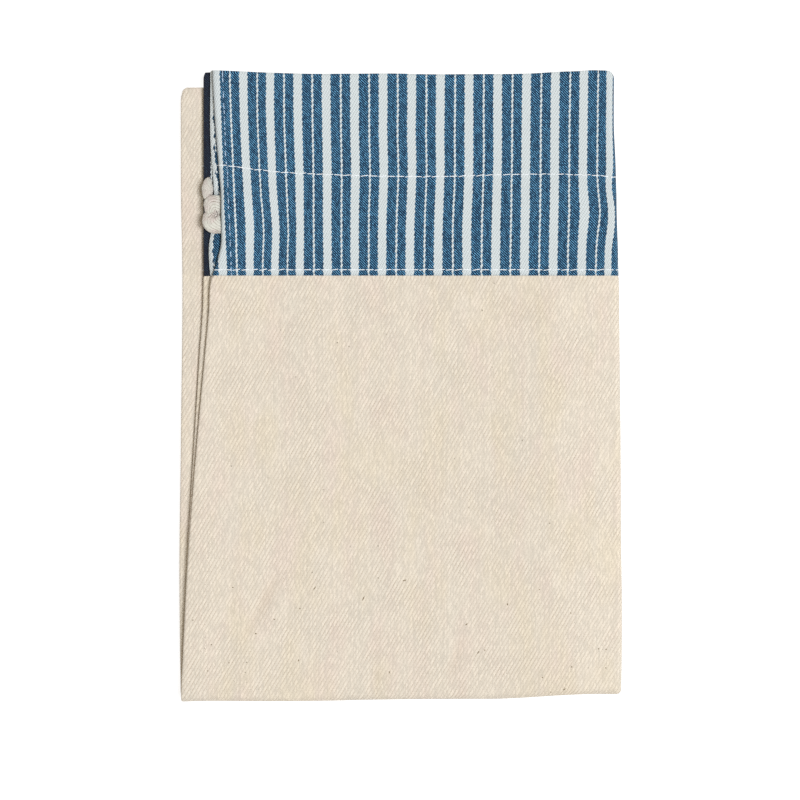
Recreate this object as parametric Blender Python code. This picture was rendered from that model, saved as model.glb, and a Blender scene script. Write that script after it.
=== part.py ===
"""A drawstring bread bag, folded flat: a body of natural cotton twill, a striped heading round its
mouth, and the knotted ends of its drawstring.

The bag is a flat tube, closed at the bottom. It is folded in half along its length, so that both
side seams lie at the left, and then once across, with the lower half behind. Seen from above, +X
is right and +Y is towards the mouth. It lies on its back half, on z = 0.
"""

import math
from collections import namedtuple

import bmesh
import bpy

MM = 0.001

# Cloth and the air between its layers
TWILL = 1.0 * MM  # one layer of the body
BAND = 1.4 * MM  # one layer of the heading, which is doubled cloth
AIR = 0.3 * MM  # between layers, and between one piece and the next
PRESSED = 0.6  # how far a fold reaches out, as a share of its half height

# Where the folded bag's edges lie
MOUTH = 107.8 * MM
CROSS_FOLD = -107.8 * MM  # the fold across the bag
BAG_BOTTOM = 102.3 * MM  # the fold that closes the bag, at the top of the back half

# The mouth dips a little between its ends, and its corner at the lengthwise fold is round
MOUTH_DIP = 1.2 * MM
MOUTH_DIP_AT = 34.0 * MM
MOUTH_DIP_HALF = 60.0 * MM
CORNER_WIDE = 2.7 * MM
CORNER_HIGH = 4.4 * MM

# The fold across isn't quite straight: its right-hand quarter lies higher
SKEW = 1.8 * MM
SKEW_FROM = 30.0 * MM
SKEW_TO = 54.0 * MM
SKEW_FADES = 55.0 * MM

# The front layer of the heading rides up beside the knot
KNOT_LIFT = 1.2 * MM
KNOT_LIFT_AT = (-61.6 * MM, 59.0 * MM)
KNOT_LIFT_REACH = (17.0 * MM, 15.0 * MM)

# The cord's ridge fades out before the lengthwise fold
RIDGE_FADES_FROM = 42.0 * MM
RIDGE_FADES_TO = 66.0 * MM

# Heights above a stack's inner face, of the middle of its lower and upper pair of layers
BODY_LOWER = TWILL + AIR / 2
BODY_UPPER = BODY_LOWER + 2 * TWILL + 2 * AIR
BODY_STACK = 4 * TWILL + 3 * AIR
HEADING_LOWER = BAND + AIR / 2
HEADING_UPPER = HEADING_LOWER + 2 * BAND + 2 * AIR
MIDDLE = BODY_STACK + AIR / 2  # the height between the front half and the back half
FRONT = MIDDLE + AIR / 2  # the front half's lowest face

# Where the fold across starts to turn, in millimetres
TURN_Y = (CROSS_FOLD + PRESSED * (AIR / 2 + BODY_STACK)) / MM

# One row for each section across the bag, in millimetres, from the mouth round to the bag's bottom.
# turn: 90 on the front half, -90 on the back half, and between them round the fold across
# edge_1, edge_2, edge_34: left edges of the front layer, the next one, and the two under them
# fold: the right edge, where the bag is folded along its length
# spread: from 0, the body's spacing of layers, to 1, the heading's
# tunnel: how far the front layer stands up over the cord in its tunnel, or sinks at the stitches
Row = namedtuple("Row", "turn y edge_1 edge_2 edge_34 fold spread tunnel", defaults=(0,))

HEADING_ROWS = (
    Row(90, 37.8, -64.6, -65.2, -67.7, 74.7, 1, 0),
    Row(90, 42.0, -62.9, -65.8, -67.6, 74.6, 1, 0.1),
    Row(90, 48.0, -61.8, -66.0, -67.5, 74.5, 1, 0.35),
    Row(90, 54.0, -61.6, -65.0, -67.5, 74.3, 1, 0.65),
    Row(90, 59.5, -61.6, -64.4, -67.5, 74.2, 1, 0.95),
    Row(90, 61.7, -61.6, -64.3, -67.5, 74.2, 1, 1.0),
    Row(90, 65.0, -61.6, -64.1, -67.4, 74.1, 1, 0.7),
    Row(90, 68.5, -61.7, -64.2, -67.4, 74.0, 1, 0.2),
    Row(90, 71.3, -61.8, -64.3, -67.4, 73.9, 1, -0.15),
    Row(90, 74.5, -62.0, -64.5, -67.4, 73.8, 1, 0),
    Row(90, 84.0, -62.9, -64.8, -67.4, 73.6, 1, 0),
    Row(90, 96.0, -64.0, -65.2, -67.4, 73.3, 1, 0),
    Row(90, 107.2, -64.7, -65.4, -67.4, 73.1, 1, 0),
)

BODY_ROWS = (
    Row(90, 37.5, -65.0, -65.0, -67.8, 74.7, 1),
    Row(90, 26.0, -65.9, -65.9, -68.3, 74.8, 0.6),
    Row(90, 12.0, -67.2, -67.2, -69.3, 75.0, 0.15),
    Row(90, -4.0, -68.7, -68.7, -70.3, 75.1, 0),
    Row(90, -28.0, -70.8, -70.8, -71.8, 75.3, 0),
    Row(90, -52.0, -72.7, -72.7, -73.2, 75.4, 0),
    Row(90, -76.0, -74.0, -74.0, -74.3, 75.4, 0),
    Row(90, -94.0, -74.7, -74.7, -74.9, 75.4, 0),
    Row(90, TURN_Y, -75.0, -75.0, -75.2, 75.4, 0),
    Row(60, TURN_Y, -75.1, -75.1, -75.2, 75.4, 0),
    Row(30, TURN_Y, -75.1, -75.1, -75.2, 75.4, 0),
    Row(0, TURN_Y, -75.2, -75.2, -75.3, 75.4, 0),
    Row(-30, TURN_Y, -75.2, -75.2, -75.3, 75.4, 0),
    Row(-60, TURN_Y, -75.3, -75.3, -75.3, 75.4, 0),
    Row(-90, TURN_Y, -75.3, -75.3, -75.3, 75.4, 0),
    Row(-90, -90.0, -75.3, -75.3, -75.3, 75.3, 0),
    Row(-90, -60.0, -75.3, -75.3, -75.3, 75.0, 0),
    Row(-90, -20.0, -75.3, -75.3, -75.3, 74.6, 0),
    Row(-90, 20.0, -75.3, -75.3, -75.3, 74.0, 0),
    Row(-90, 60.0, -75.3, -75.3, -75.3, 73.5, 0),
    Row(-90, 90.0, -75.3, -75.3, -75.3, 73.1, 0),
    Row(-90, 101.4, -74.9, -74.9, -74.9, 72.8, 0),
)

# Soft humps and hollows of the front half, in millimetres. reach is the distance over which one fades.
Hump = namedtuple("Hump", "x y reach_x reach_y height")
HUMPS = (
    Hump(-30, -72, 34, 22, -0.35),
    Hump(28, -48, 46, 30, 0.45),
    Hump(62, -88, 16, 18, -0.25),
    Hump(-20, 5, 60, 36, 0.40),
    Hump(40, 92, 34, 12, -0.30),
    Hump(-18, 88, 30, 14, 0.25),
)

# Places across one layer, as shares of its width, and angles round its ends and folds, in degrees
COLUMNS = (0.0, 0.05, 0.12, 0.24, 0.42, 0.62, 0.82, 1.0)
END_ANGLES = (20, 55)
FOLD_ANGLES = (60, 30, 0, -30, -60)
CLOSING_ANGLES = (30, 60, 82)

# The knotted ends of the drawstring, from the slit down, in millimetres: the middle of each section,
# and half its width and height. Heights are above the second layer of the heading.
Lobe = namedtuple("Lobe", "y x half_wide z half_high")
KNOT_ROWS = (
    Lobe(71.6, -66.0, 0.7, 0.7, 0.6),
    Lobe(71.0, -66.2, 1.4, 0.6, 1.2),
    Lobe(69.3, -66.4, 1.9, 0.5, 1.7),
    Lobe(67.4, -66.5, 2.0, 0.5, 1.8),
    Lobe(65.8, -66.5, 1.8, 0.7, 1.6),
    Lobe(64.9, -65.8, 1.9, 1.7, 1.2),
    Lobe(63.9, -64.9, 2.5, 1.8, 1.4),
    Lobe(61.8, -64.7, 2.7, 1.9, 1.55),
    Lobe(59.6, -64.7, 2.6, 1.9, 1.5),
    Lobe(58.6, -64.8, 2.4, 1.7, 1.3),
    Lobe(57.4, -65.2, 3.0, 1.8, 1.45),
    Lobe(55.2, -65.4, 3.4, 1.9, 1.55),
    Lobe(53.0, -65.2, 2.9, 1.8, 1.4),
    Lobe(51.8, -64.9, 1.9, 1.6, 1.0),
    Lobe(51.3, -64.8, 0.9, 1.5, 0.5),
)
KNOT_SIDES = 14


def ease(share):
    """0 up to 1, level at both ends."""
    share = min(max(share, 0.0), 1.0)
    return share * share * (3 - 2 * share)


def between(low, high, share):
    return low + (high - low) * share


def side_of_tube(row, offset, outermost, panel):
    """Points (x, height) across one panel of the folded tube, from one side seam to the other.

    panel is 1 for the bag's front, which goes round the outside of the lengthwise fold, and -1 for
    its back. offset is the distance from the middle of the bag's inside to this face of the cloth,
    and outermost is the largest offset of that cloth.
    """
    lower = between(BODY_LOWER, HEADING_LOWER, row.spread)
    upper = between(BODY_UPPER, HEADING_UPPER, row.spread)
    edge = (row.edge_1 if panel > 0 else row.edge_2) * MM
    half = (upper - lower) / 2
    start = edge + PRESSED * outermost
    finish = row.edge_34 * MM + PRESSED * outermost
    turn = row.fold * MM - PRESSED * (half + outermost)
    ends = [math.radians(angle) for angle in END_ANGLES]
    points = []
    for a in ends:
        points.append((start - PRESSED * offset * math.cos(a), upper + panel * offset * math.sin(a)))
    points += [(between(start, turn, share), upper + panel * offset) for share in COLUMNS]
    radius = half + panel * offset
    for angle in map(math.radians, FOLD_ANGLES):
        points.append((turn + PRESSED * radius * math.cos(angle), lower + half + radius * math.sin(angle)))
    points += [(between(finish, turn, share), lower - panel * offset) for share in reversed(COLUMNS)]
    for a in reversed(ends):
        points.append((finish - PRESSED * offset * math.cos(a), lower - panel * offset * math.sin(a)))
    return points


def hump(x, y):
    total = 0.0
    for h in HUMPS:
        away = ((x / MM - h.x) / h.reach_x) ** 2 + ((y / MM - h.y) / h.reach_y) ** 2
        total += h.height * MM * math.exp(-away)
    return total


def settle(x, y, z):
    """Gives a point of the evenly folded bag the skew of its fold and the unevenness of its front."""
    near_fold = ease((CROSS_FOLD + SKEW_FADES - y) / SKEW_FADES)
    y += SKEW * ease((x - SKEW_FROM) / (SKEW_TO - SKEW_FROM)) * near_fold
    if z > MIDDLE:
        from_fold = ease((y - CROSS_FOLD) / (12 * MM))
        z += hump(x, y) * from_fold * (z - MIDDLE) / BODY_STACK
    return x, y, z


def place(row, x, height, y=None):
    """A point of the section, carried round the fold across by its row's turn."""
    turn = math.radians(row.turn)
    radius = AIR / 2 + height
    y = row.y * MM if y is None else y
    return settle(x, y - PRESSED * radius * math.cos(turn), MIDDLE + radius * math.sin(turn))


def closed_ring(row, offset, outermost, y=None):
    """The whole way round the tube: its front panel out, and its back panel home."""
    front = side_of_tube(row, offset, outermost, 1)
    back = side_of_tube(row, offset, outermost, -1)
    return [place(row, x, height, y) for x, height in front + back[::-1]]


def bridge(mesh, first, second):
    """Faces between two rings of equal count."""
    for here in range(len(first)):
        after = (here + 1) % len(first)
        mesh.faces.new((first[here], first[after], second[after], second[here]))


def close_flat(mesh, ring):
    """Faces across a thin ring whose halves face each other."""
    last = len(ring) - 1
    for here in range(len(ring) // 2 - 1):
        mesh.faces.new((ring[here], ring[here + 1], ring[last - here - 1], ring[last - here]))


def finish(mesh, name, material, collection, smooth_below=40):
    bmesh.ops.recalc_face_normals(mesh, faces=mesh.faces)
    data = bpy.data.meshes.new(name)
    mesh.to_mesh(data)
    mesh.free()
    data.materials.append(material)
    data.shade_smooth()
    data.set_sharp_from_angle(angle=math.radians(smooth_below))
    piece = bpy.data.objects.new(name, data)
    collection.objects.link(piece)
    return piece


def cloth_material(name, colour, roughness):
    material = bpy.data.materials.new(name)
    material.use_nodes = True
    shader = material.node_tree.nodes["Principled BSDF"]
    shader.inputs["Base Color"].default_value = (*colour, 1)
    shader.inputs["Roughness"].default_value = roughness
    shader.inputs["Metallic"].default_value = 0
    return material


def make_body(collection):
    """One length of twill, as a flat tube: an outer and an inner face, joined at the mouth."""
    mesh = bmesh.new()
    outer, inner = [], []
    for row in BODY_ROWS:
        room = AIR / 2 + (BAND - TWILL) / 2 * row.spread
        outermost = room + TWILL
        outer.append([mesh.verts.new(p) for p in closed_ring(row, outermost, outermost)])
        inner.append([mesh.verts.new(p) for p in closed_ring(row, room, outermost)])
    # The bag's bottom: the outer face draws together past the last row, round a fold of its own.
    last = BODY_ROWS[-1]
    outermost = AIR / 2 + TWILL
    reach = BAG_BOTTOM - last.y * MM
    for angle in map(math.radians, CLOSING_ANGLES):
        drawn = outermost * math.cos(angle)
        points = closed_ring(last, drawn, outermost, last.y * MM + reach * math.sin(angle))
        outer.append([mesh.verts.new(p) for p in points])
    for rings in (outer, inner):
        for first, second in zip(rings, rings[1:], strict=False):
            bridge(mesh, first, second)
        close_flat(mesh, rings[-1])
    bridge(mesh, outer[0], inner[0])
    return finish(mesh, "body", cloth_material("natural_twill", (0.78, 0.69, 0.56), 0.9), collection)


def mouth_drop(x, row):
    """How far the mouth lies below its highest line."""
    share = min(abs(x - MOUTH_DIP_AT) / MOUTH_DIP_HALF, 1.0)
    dip = MOUTH_DIP * math.cos(share * math.pi / 2) ** 2
    into_corner = max(x - (row.fold * MM - CORNER_WIDE), 0.0) / CORNER_WIDE
    return dip + CORNER_HIGH * (1 - math.sqrt(max(1 - into_corner**2, 0.0)))


def lift_by_knot(x, y):
    across, along = KNOT_LIFT_REACH
    away = ((x - KNOT_LIFT_AT[0]) / across) ** 2 + ((y - KNOT_LIFT_AT[1]) / along) ** 2
    return KNOT_LIFT * math.exp(-away)


def band_face(row, offset, y=None):
    """One face of the band, from its end on the front layer, all round the mouth, to its other end."""
    outermost = AIR / 2 + BAND
    front = side_of_tube(row, offset, outermost, 1)[len(END_ANGLES):]
    back = side_of_tube(row, offset, outermost, -1)[len(END_ANGLES):]
    points = []
    for number, (x, height) in enumerate(front + back[::-1]):
        level = row.y * MM if y is None else y - mouth_drop(x, row)
        x, level, z = place(row, x, height, level)
        if number < len(COLUMNS):
            fading = ease((RIDGE_FADES_TO - x) / (RIDGE_FADES_TO - RIDGE_FADES_FROM))
            z += lift_by_knot(x, level) + row.tunnel * MM * fading
        points.append((x, level, z))
    return points


def make_heading(collection):
    """The striped band: one strip round the mouth whose ends meet at a slit, at the left."""
    mesh = bmesh.new()
    near, far = AIR / 2, AIR / 2 + BAND
    soft = BAND * 0.3
    sections = [(band_face(row, far), band_face(row, near)) for row in HEADING_ROWS]
    sections.append(
        (band_face(HEADING_ROWS[-1], far - soft, MOUTH), band_face(HEADING_ROWS[-1], near + soft, MOUTH))
    )
    rings = [[mesh.verts.new(p) for p in outer + inner[::-1]] for outer, inner in sections]
    for first, second in zip(rings, rings[1:], strict=False):
        bridge(mesh, first, second)
    close_flat(mesh, rings[0])
    close_flat(mesh, rings[-1])
    return finish(mesh, "heading", cloth_material("striped_denim", (0.10, 0.19, 0.31), 0.85), collection)


def make_drawstring(collection):
    """The knotted ends of the cord: lobes of the knot, in sections across it."""
    mesh = bmesh.new()
    base = FRONT + HEADING_UPPER - AIR / 2
    rings = []
    for lobe in KNOT_ROWS:
        ring = []
        for number in range(KNOT_SIDES):
            angle = 2 * math.pi * number / KNOT_SIDES
            x = (lobe.x + lobe.half_wide * math.cos(angle)) * MM
            z = base + (lobe.z + lobe.half_high * math.sin(angle)) * MM
            ring.append(mesh.verts.new((x, lobe.y * MM, z)))
        rings.append(ring)
    for first, second in zip(rings, rings[1:], strict=False):
        bridge(mesh, first, second)
    mesh.faces.new(rings[0])
    mesh.faces.new(rings[-1])
    return finish(mesh, "drawstring", cloth_material("cotton_cord", (0.74, 0.66, 0.57), 0.95), collection)


for old in list(bpy.data.objects):
    bpy.data.objects.remove(old, do_unlink=True)

bag = bpy.data.collections.new("bread_bag")
bpy.context.scene.collection.children.link(bag)
make_body(bag)
make_heading(bag)
make_drawstring(bag)
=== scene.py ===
import math
from collections import namedtuple

import bmesh
import bpy
import numpy as np
from mathutils import Matrix, Vector


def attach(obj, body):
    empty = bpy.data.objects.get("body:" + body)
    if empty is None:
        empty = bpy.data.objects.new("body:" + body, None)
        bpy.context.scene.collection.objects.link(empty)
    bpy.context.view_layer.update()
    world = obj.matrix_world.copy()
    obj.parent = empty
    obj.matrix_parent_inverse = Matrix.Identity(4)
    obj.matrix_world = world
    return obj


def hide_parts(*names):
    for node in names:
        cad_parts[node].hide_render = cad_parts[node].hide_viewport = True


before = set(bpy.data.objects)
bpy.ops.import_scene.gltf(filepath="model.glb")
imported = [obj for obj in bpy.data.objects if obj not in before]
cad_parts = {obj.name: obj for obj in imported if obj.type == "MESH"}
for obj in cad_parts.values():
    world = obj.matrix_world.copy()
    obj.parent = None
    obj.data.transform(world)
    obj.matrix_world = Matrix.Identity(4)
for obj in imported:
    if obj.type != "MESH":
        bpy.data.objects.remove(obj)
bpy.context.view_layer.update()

# A drawstring bread bag, folded flat. Shapes are worked out in millimetres and made in metres.
# Seen from above, +X is right and +Y is towards the mouth.
MM = 0.001
scene = bpy.context.scene
scene.view_settings.view_transform = "Standard"


# ---- Camera: straight above the bag, a long lens from one metre.
CAMERA_HEIGHT = 1.012
FRAME_WIDE = 274.4 * MM  # what the picture takes in, at the bag's upper face
BAG_TOP = 12.0 * MM
AIM = (-0.24 * MM, -4.89 * MM)


def place_in_scene(name, data):
    """A new object, at the origin."""
    made = bpy.data.objects.new(name, data)
    scene.collection.objects.link(made)
    return made


lens = bpy.data.cameras.new("camera")
lens.sensor_width = 36
lens.lens = lens.sensor_width * (CAMERA_HEIGHT - BAG_TOP) / FRAME_WIDE
lens.clip_start, lens.clip_end = 0.05, 20
camera = place_in_scene("camera", lens)
camera.location = (*AIM, CAMERA_HEIGHT)
scene.camera = camera


# ---- Drawstring: a thick, soft cord of loosely twisted cotton. Its end comes out of the slit in the
# heading, lies down in two turns of a soft knot, and tucks under the heading's front layer.
CORD_ACROSS = 3.6
CORD_STRANDS = 20
CORD_TWIST = 40.0  # length of one turn of the strands
CORD_SIDES = 100
CORD_STEP = 0.25
STRAND_DEEP = 0.36
TIP_LONG = 1.2
CREASE_AT = 58.6  # the crease between the two lower turns
CREASE_HALF = 0.45
CREASE_DEEP = 0.75

# The cord's centre line, and half its width and height there
Bend = namedtuple("Bend", "x y z wide tall")
CORD_ROUTE = (
    Bend(-65.9, 71.9, 9.6, 0.55, 0.6),
    Bend(-66.1, 70.9, 9.9, 1.15, 1.05),
    Bend(-66.3, 69.5, 10.2, 1.65, 1.45),
    Bend(-66.35, 68.0, 10.4, 1.95, 1.7),
    Bend(-66.4, 66.5, 10.4, 1.95, 1.65),
    Bend(-66.2, 65.3, 10.2, 1.75, 1.4),
    Bend(-65.1, 64.4, 10.2, 1.3, 1.1),
    Bend(-63.2, 63.9, 10.6, 1.2, 0.9),
    Bend(-61.0, 64.0, 11.0, 1.25, 0.85),
    Bend(-58.6, 64.2, 11.3, 1.6, 0.9),
    Bend(-57.4, 62.9, 11.3, 2.0, 0.9),
    Bend(-58.4, 62.0, 11.35, 2.9, 0.95),
    Bend(-60.6, 62.0, 11.6, 3.35, 1.2),
    Bend(-62.8, 62.0, 11.85, 3.45, 1.6),
    Bend(-64.1, 61.6, 11.85, 3.75, 1.8),
    Bend(-64.6, 60.3, 11.5, 2.85, 1.7),
    Bend(-64.4, 58.9, 11.0, 2.6, 1.5),
    Bend(-64.8, 57.6, 11.4, 3.2, 1.65),
    Bend(-64.7, 56.4, 11.8, 3.5, 1.75),
    Bend(-63.4, 55.6, 11.85, 3.45, 1.7),
    Bend(-61.2, 55.5, 11.6, 3.2, 1.2),
    Bend(-59.0, 55.6, 11.35, 2.7, 0.95),
    Bend(-56.8, 55.4, 11.3, 1.8, 0.9),
)


def smooth_curve(stations, values, slopes, at):
    """A smooth curve through values at rising stations, with the given slopes there."""
    here = np.clip(np.searchsorted(stations, at, side="right") - 1, 0, len(stations) - 2)
    wide = stations[here + 1] - stations[here]
    t = (at - stations[here]) / wide
    return (
        values[here] * (1 + 2 * t) * (1 - t) ** 2 + slopes[here] * wide * t * (1 - t) ** 2
        + values[here + 1] * t * t * (3 - 2 * t) + slopes[here + 1] * wide * t * t * (t - 1)
    )


def ease(share):
    """0 up to 1, level at both ends."""
    share = np.clip(share, 0, 1)
    return share * share * (3 - 2 * share)


def run_along(points):
    """How far along a line of points each of them lies."""
    return np.concatenate([[0], np.cumsum(np.linalg.norm(np.diff(points, axis=0), axis=1))])


def unit(vectors):
    return vectors / np.linalg.norm(vectors, axis=1)[:, None]


def cloth_grid(name, points, uv, material, painted_shading=None):
    """A mesh over a grid of points, in millimetres, with its own UV map in millimetres of cloth.

    The last argument, a value for each point, is kept as an attribute, for the shade and light that the
    materials paint.
    """
    rows, columns = points.shape[:2]
    corner = np.arange(rows * columns).reshape(rows, columns)
    faces = np.stack([corner[:-1, :-1], corner[:-1, 1:], corner[1:, 1:], corner[1:, :-1]], -1)
    faces = faces.reshape(-1, 4)
    data = bpy.data.meshes.new(name)
    data.from_pydata((points.reshape(-1, 3) * MM).tolist(), [], faces.tolist())
    layer = data.uv_layers.new(name="Cloth")
    layer.data.foreach_set("uv", uv.reshape(-1, 2)[faces.ravel()].astype(np.float32).ravel())
    if painted_shading is not None:
        attribute = data.attributes.new("painted_shading", "FLOAT", "POINT")
        attribute.data.foreach_set("value", painted_shading.astype(np.float32).ravel())
    mesh = bmesh.new()
    mesh.from_mesh(data)
    bmesh.ops.remove_doubles(mesh, verts=mesh.verts, dist=0.001 * MM)
    bmesh.ops.dissolve_degenerate(mesh, edges=mesh.edges, dist=0.001 * MM)
    mesh.to_mesh(data)
    mesh.free()
    data.materials.append(material)
    data.shade_smooth()
    return place_in_scene(name, data)


def cord_line():
    """The cord's centre line at even steps, and half its width and height there, in millimetres."""
    route = np.array(CORD_ROUTE)
    far = run_along(route[:, :3])
    at = np.linspace(0, far[-1], int(far[-1] / CORD_STEP))
    slopes = np.gradient(route, far, axis=0)
    return np.stack([smooth_curve(far, route[:, k], slopes[:, k], at) for k in range(5)], -1)


def add_node(tree, kind, inputs=None, **settings):
    """Adds a node.

    Inputs are given by name or number, as a value or as what feeds them: a socket, or a node for its
    first output.
    """
    made = tree.nodes.new(kind)
    for name, value in settings.items():
        setattr(made, name, value)
    for key, value in (inputs or {}).items():
        if isinstance(value, bpy.types.Node):
            value = value.outputs[0]
        if isinstance(value, bpy.types.NodeSocket):
            tree.links.new(value, made.inputs[key])
        else:
            made.inputs[key].default_value = value
    return made


def maths(tree, operation, *values):
    return add_node(tree, "ShaderNodeMath", dict(enumerate(values)), operation=operation).outputs[0]


def times(tree, first, *others):
    for other in others:
        first = maths(tree, "MULTIPLY", first, other)
    return first


def blend_colours(tree, share, first, second, kind="MIX"):
    """first turns into second as share goes from 0 to 1."""
    return add_node(tree, "ShaderNodeMix", {0: share, 6: first, 7: second},
                    data_type="RGBA", blend_type=kind).outputs[2]


def spread_to(tree, value, low, high, new_low, new_high):
    """Carries the range low..high over to new_low..new_high, and holds it there."""
    return add_node(tree, "ShaderNodeMapRange", {
        "Value": value, "From Min": low, "From Max": high, "To Min": new_low, "To Max": new_high,
    }).outputs[0]


def split(tree, threefold):
    """The three parts of a place or of a colour."""
    return add_node(tree, "ShaderNodeSeparateXYZ", {0: threefold}).outputs


def place_on_piece(tree):
    """Where a point of the surface lies, in metres."""
    return add_node(tree, "ShaderNodeTexCoord").outputs["Object"]


def stretched(tree, place, scale, turn=0.0):
    return add_node(tree, "ShaderNodeMapping", {"Vector": place, "Rotation": (0, 0, turn), "Scale": scale})


def noise(tree, place, scale, detail):
    """Cloudy unevenness: a value, and a colour of three more."""
    return add_node(tree, "ShaderNodeTexNoise", {"Vector": place, "Scale": scale, "Detail": detail}).outputs


def spread_product(tree, *spans):
    """Values multiplied together, each carried over from its range to another one."""
    return times(tree, *(spread_to(tree, *span) for span in spans))


def tinted(tree, colour, *tints):
    """Each tint is a value, its range, how much of the tint shows at the range's end, and its colour."""
    for value, low, high, most, tint in tints:
        colour = blend_colours(tree, spread_to(tree, value, low, high, 0, most), colour, tint)
    return colour


def plain_material(name, roughness, sheen):
    """A material with its nodes, ready for its coat."""
    material = bpy.data.materials.new(name)
    material.use_nodes = True
    inputs = material.node_tree.nodes["Principled BSDF"].inputs
    inputs["Roughness"].default_value = roughness
    inputs["Specular IOR Level"].default_value = 0.2
    inputs["Sheen Weight"].default_value = sheen
    inputs["Sheen Roughness"].default_value = 0.5
    return material, material.node_tree


def coat(tree, colour, height=None, deep=0.0, strength=1.0):
    """Gives a material its colour and, from a height, its relief."""
    inputs = tree.nodes["Principled BSDF"].inputs
    tree.links.new(colour, inputs["Base Color"])
    if height is not None:
        relief = add_node(tree, "ShaderNodeBump", {"Height": height, "Distance": deep, "Strength": strength})
        tree.links.new(relief.outputs[0], inputs["Normal"])


def cotton_cord():
    material, tree = plain_material("cotton_cord", 0.95, 0.25)
    along = add_node(tree, "ShaderNodeUVMap", uv_map="Cloth")
    strand = times(tree, split(tree, along)[0], CORD_STRANDS / CORD_ACROSS)
    strand = maths(tree, "ABSOLUTE", maths(tree, "COSINE", strand))
    fibres = noise(tree, stretched(tree, along, (2.6, 0.4, 1)), 2.2, 5)[0]
    place = place_on_piece(tree)
    tint = noise(tree, place, 300, 2)[0]
    cream, pink, shade = (0.66, 0.65, 0.575, 1), (0.65, 0.585, 0.535, 1), (0.25, 0.20, 0.16, 1)
    colour = tinted(tree, cream, (tint, 0.4, 0.62, 1, pink), (fibres, 0.45, 0.28, 0.6, shade))
    # Painted shade: it is dark between the strands, least so at the left
    x = split(tree, place)[0]
    parted = spread_product(tree, (strand, 0.5, 0.0, 0, 1.0), (x, -66.5 * MM, -63.0 * MM, 0.4, 1),
                            (tint, 0.35, 0.6, 0.5, 1.2))
    coat(tree, blend_colours(tree, parted, colour, shade), fibres, 0.4 * MM, 0.9)
    return material


def make_drawstring():
    line = cord_line()
    centre = line[:, :3]
    ahead = unit(np.gradient(centre, axis=0))
    sideways = unit(np.cross(ahead, (0, 0, 1)))
    upward = np.cross(sideways, ahead)
    far = run_along(centre)
    # Both ends draw in to a blunt tip
    to_end = np.minimum(far, far[-1] - far)
    tip = np.sqrt(np.clip(to_end / TIP_LONG, 0.0, 1.0))
    angle = np.linspace(0, 2 * np.pi, CORD_SIDES + 1)
    twisted = angle[None, :] + 2 * np.pi * far[:, None] / CORD_TWIST
    strand = np.cos(CORD_STRANDS / 2 * (twisted + 0.1 * np.sin(2.1 * far)[:, None]))
    # The strands lie close in some places and stand apart in others
    apart = 0.55 + 0.45 * np.sin(0.9 * far[:, None] + 2 * angle) * np.sin(1.7 * far[:, None] + 1)
    surface = centre[:, :1] + line[:, 3:4] * np.cos(angle) * sideways[:, :1]
    apart = apart * (0.45 + 0.55 * ease((surface + 66.5) / 3.5))
    lumps = 1 + 0.03 * np.sin(far[:, None] * 1.9 + 3 * np.sin(angle[None, :]))
    sunk = STRAND_DEEP * apart * (1 - np.abs(strand))
    wide = (line[:, 3:4] * lumps - sunk) * tip[:, None]
    tall = (line[:, 4:5] * lumps - sunk) * tip[:, None]
    points = (
        centre[:, None]
        + (wide * np.cos(angle))[..., None] * sideways[:, None]
        + (tall * np.sin(angle))[..., None] * upward[:, None]
    )
    # A crease parts the two lower turns
    x, y, z = points[..., 0], points[..., 1], points[..., 2]
    off_crease = (y - CREASE_AT - 0.25 * np.sin(2.6 * x)) / CREASE_HALF
    points[..., 2] -= CREASE_DEEP * np.exp(-(off_crease ** 2)) * ease((z - centre[:, None, 2]) / 0.5)
    uv = np.stack([twisted * CORD_ACROSS / 2, np.broadcast_to(far[:, None], twisted.shape)], -1)
    piece = cloth_grid("knotted_drawstring", points, uv, cotton_cord())
    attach(piece, "root")
    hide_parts("drawstring")


make_drawstring()


# ---- Floor and light: a pale floor, a soft sky and one broad sun, high on the right.
def make_floor():
    bpy.ops.mesh.primitive_plane_add(size=6, location=(0, 0, -0.1 * MM))
    floor = bpy.context.object
    floor.name = "floor"
    material, tree = plain_material("floor", 0.9, 0)
    inputs = tree.nodes["Principled BSDF"].inputs
    inputs["Base Color"].default_value = (0.3, 0.3, 0.3, 1)
    inputs["Emission Color"].default_value = (1, 1, 1, 1)
    inputs["Emission Strength"].default_value = 0.85
    floor.data.materials.append(material)


def make_light(name, strength, width, azimuth, elevation, colour):
    """A sun whose width, in degrees, is the softness of its shadows."""
    sun = bpy.data.lights.new(name, "SUN")
    sun.energy, sun.angle, sun.color = strength, math.radians(width), colour
    a, e = math.radians(azimuth), math.radians(elevation)
    towards = Vector((math.cos(a) * math.cos(e), math.sin(a) * math.cos(e), math.sin(e)))
    place_in_scene(name, sun).rotation_euler = towards.to_track_quat("Z", "Y").to_euler()


make_floor()
make_light("key", 2.85, 18, azimuth=-14, elevation=73, colour=(1, 1.04, 1.10))
sky = bpy.data.worlds.new("sky")
sky.use_nodes = True
sky.node_tree.nodes["Background"].inputs["Color"].default_value = (1, 0.90, 0.76, 1)
sky.node_tree.nodes["Background"].inputs["Strength"].default_value = 0.36
scene.world = sky
# The weave is as fine as a render's noise, and a denoiser would wipe it off with the noise
scene.cycles.use_denoising = False


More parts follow.
